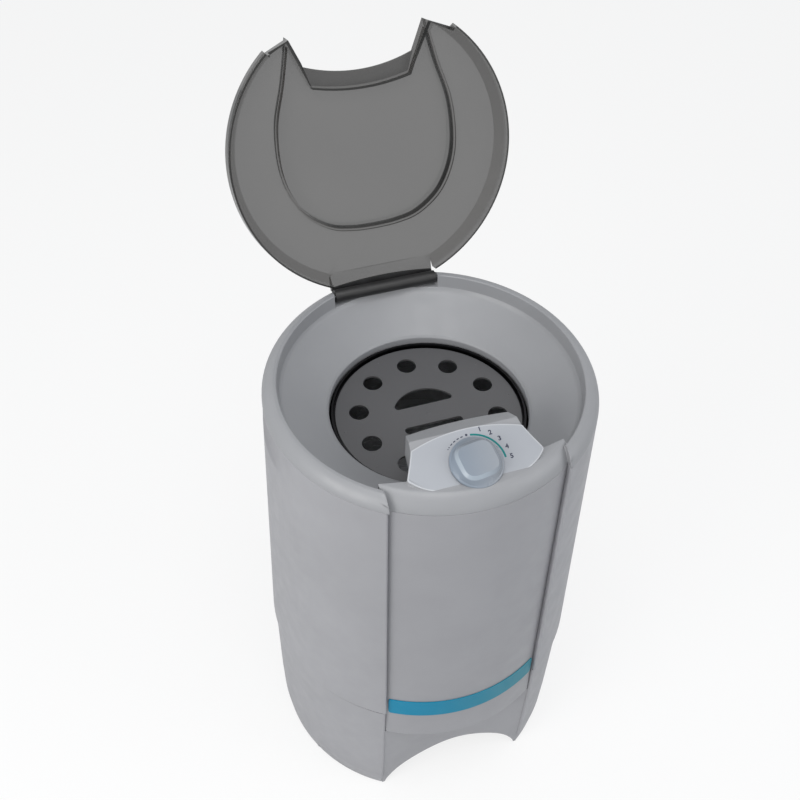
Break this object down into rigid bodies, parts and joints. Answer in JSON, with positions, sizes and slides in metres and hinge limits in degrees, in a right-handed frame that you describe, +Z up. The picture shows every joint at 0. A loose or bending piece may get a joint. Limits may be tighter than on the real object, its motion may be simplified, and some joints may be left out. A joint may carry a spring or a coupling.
{
  "type": "spin dryer",
  "caption": "Free-standing top-loading spin dryer with a smoked hinged lid, perforated spinning basket under a loose pierced cover, timer knob, front panel and bowl bay",
  "frame": {"origin": "On the floor line of the underside plate, on the spin axis: the underside plate's face is 4 mm above the origin", "axes": "+Z up along the spin axis, -Y to the front where the console is, +X to the user's right"},
  "size_m": [0.44, 0.5347, 1.0007],
  "materials": {
    "body_grey": "fine satin moulded polypropylene",
    "panel_grey": "fine satin moulded polypropylene",
    "band_blue": "satin printed band",
    "face_pale": "satin pale silver-grey dial film",
    "knob_grey": "satin blue-grey moulded plastic",
    "smoke_plastic": "smoked translucent plastic, polished",
    "disc_dark": "dark grey satin moulded plastic",
    "steel": "brushed stainless steel",
    "tub_white": "natural white moulded plastic",
    "cast_grey": "painted casting",
    "copper_winding": "varnished laminations and winding",
    "black_rubber": "soft black rubber",
    "black_plastic": "black moulded plastic",
    "zinc_plate": "bright zinc-plated steel",
    "pad_lining": "woven friction lining"
  },
  "bodies": {
    "cabinet": {"base_housing": "body_grey", "cabinet_shell": "body_grey", "top_deck": "body_grey", "front_panel": "panel_grey", "front_band": "band_blue", "dial_plate": "face_pale", "timer_body": "tub_white", "outer_tub": "tub_white", "capacitor": "tub_white", "motor_plate": "zinc_plate", "mount_bolt_1": "zinc_plate", "mount_bolt_2": "zinc_plate", "mount_bolt_3": "zinc_plate", "brake_bracket": "zinc_plate", "capacitor_clamp": "zinc_plate", "cover_screw_1": "zinc_plate", "cover_screw_2": "zinc_plate", "cover_screw_3": "zinc_plate", "cover_screw_4": "zinc_plate", "hinge_pin_left": "steel", "hinge_pin_right": "steel", "upper_bearing": "steel", "lower_bearing": "steel", "brake_pivot_pin": "steel", "brake_spring": "steel", "tub_gasket": "black_rubber", "shaft_seal": "black_rubber", "rubber_mount_1": "black_rubber", "rubber_mount_2": "black_rubber", "rubber_mount_3": "black_rubber", "rubber_foot_1": "black_rubber", "rubber_foot_2": "black_rubber", "rubber_foot_3": "black_rubber", "rubber_foot_4": "black_rubber", "drain_spout": "black_plastic", "brake_cable": "black_plastic", "wiring_harness": "black_plastic", "cord_gland": "black_plastic", "lid_switch_body": "black_plastic", "bottom_cover": "black_plastic", "motor_housing": "cast_grey", "motor_end_bell": "cast_grey", "stator": "copper_winding"},
    "lid": {"lid_shell": "smoke_plastic"},
    "basket": {"basket": "steel", "basket_hub": "cast_grey", "hub_nut": "zinc_plate", "drive_shaft": "steel", "rotor": "steel", "cooling_fan": "black_plastic", "brake_drum": "cast_grey"},
    "cover": {"basket_cover": "disc_dark"},
    "knob": {"timer_knob": "knob_grey", "timer_shaft": "zinc_plate"},
    "brake": {"brake_lever": "zinc_plate", "brake_pad": "pad_lining"},
    "plunger": {"switch_plunger": "black_plastic"}
  },
  "joints": [
    {"name": "lid_hinge", "type": "hinge", "parent": "cabinet", "child": "lid", "pos_m": [0, 0.1829, 0.6904], "axis": [-1, 0, 0], "range_deg": [-109.5, 0]},
    {"name": "basket_spin", "type": "hinge", "parent": "cabinet", "child": "basket", "pos_m": [0, 0, 0.2], "axis": [0, 0, 1], "continuous": true},
    {"name": "cover_lift", "type": "slide", "parent": "basket", "child": "cover", "axis": [0, 0, 1], "range_m": [0, 0.036]},
    {"name": "timer_knob_turn", "type": "hinge", "parent": "cabinet", "child": "knob", "pos_m": [0, -0.1525, 0.70398], "axis": [0, -0.303, 0.953], "range_deg": [-95, 45]},
    {"name": "brake_lever_pivot", "type": "hinge", "parent": "cabinet", "child": "brake", "pos_m": [0.061, -0.045, 0.2285], "axis": [0, 0, 1], "range_deg": [-8.5, 0]},
    {"name": "switch_plunger_press", "type": "slide", "parent": "cabinet", "child": "plunger", "axis": [0, 0, 1], "range_m": [0, 0.0042]}
  ],
  "couplings": [
    {"joint": "brake_lever_pivot", "follows": "lid_hinge", "ratio": 0.073},
    {"joint": "switch_plunger_press", "follows": "lid_hinge", "m_per_rad": -0.00209}
  ]
}
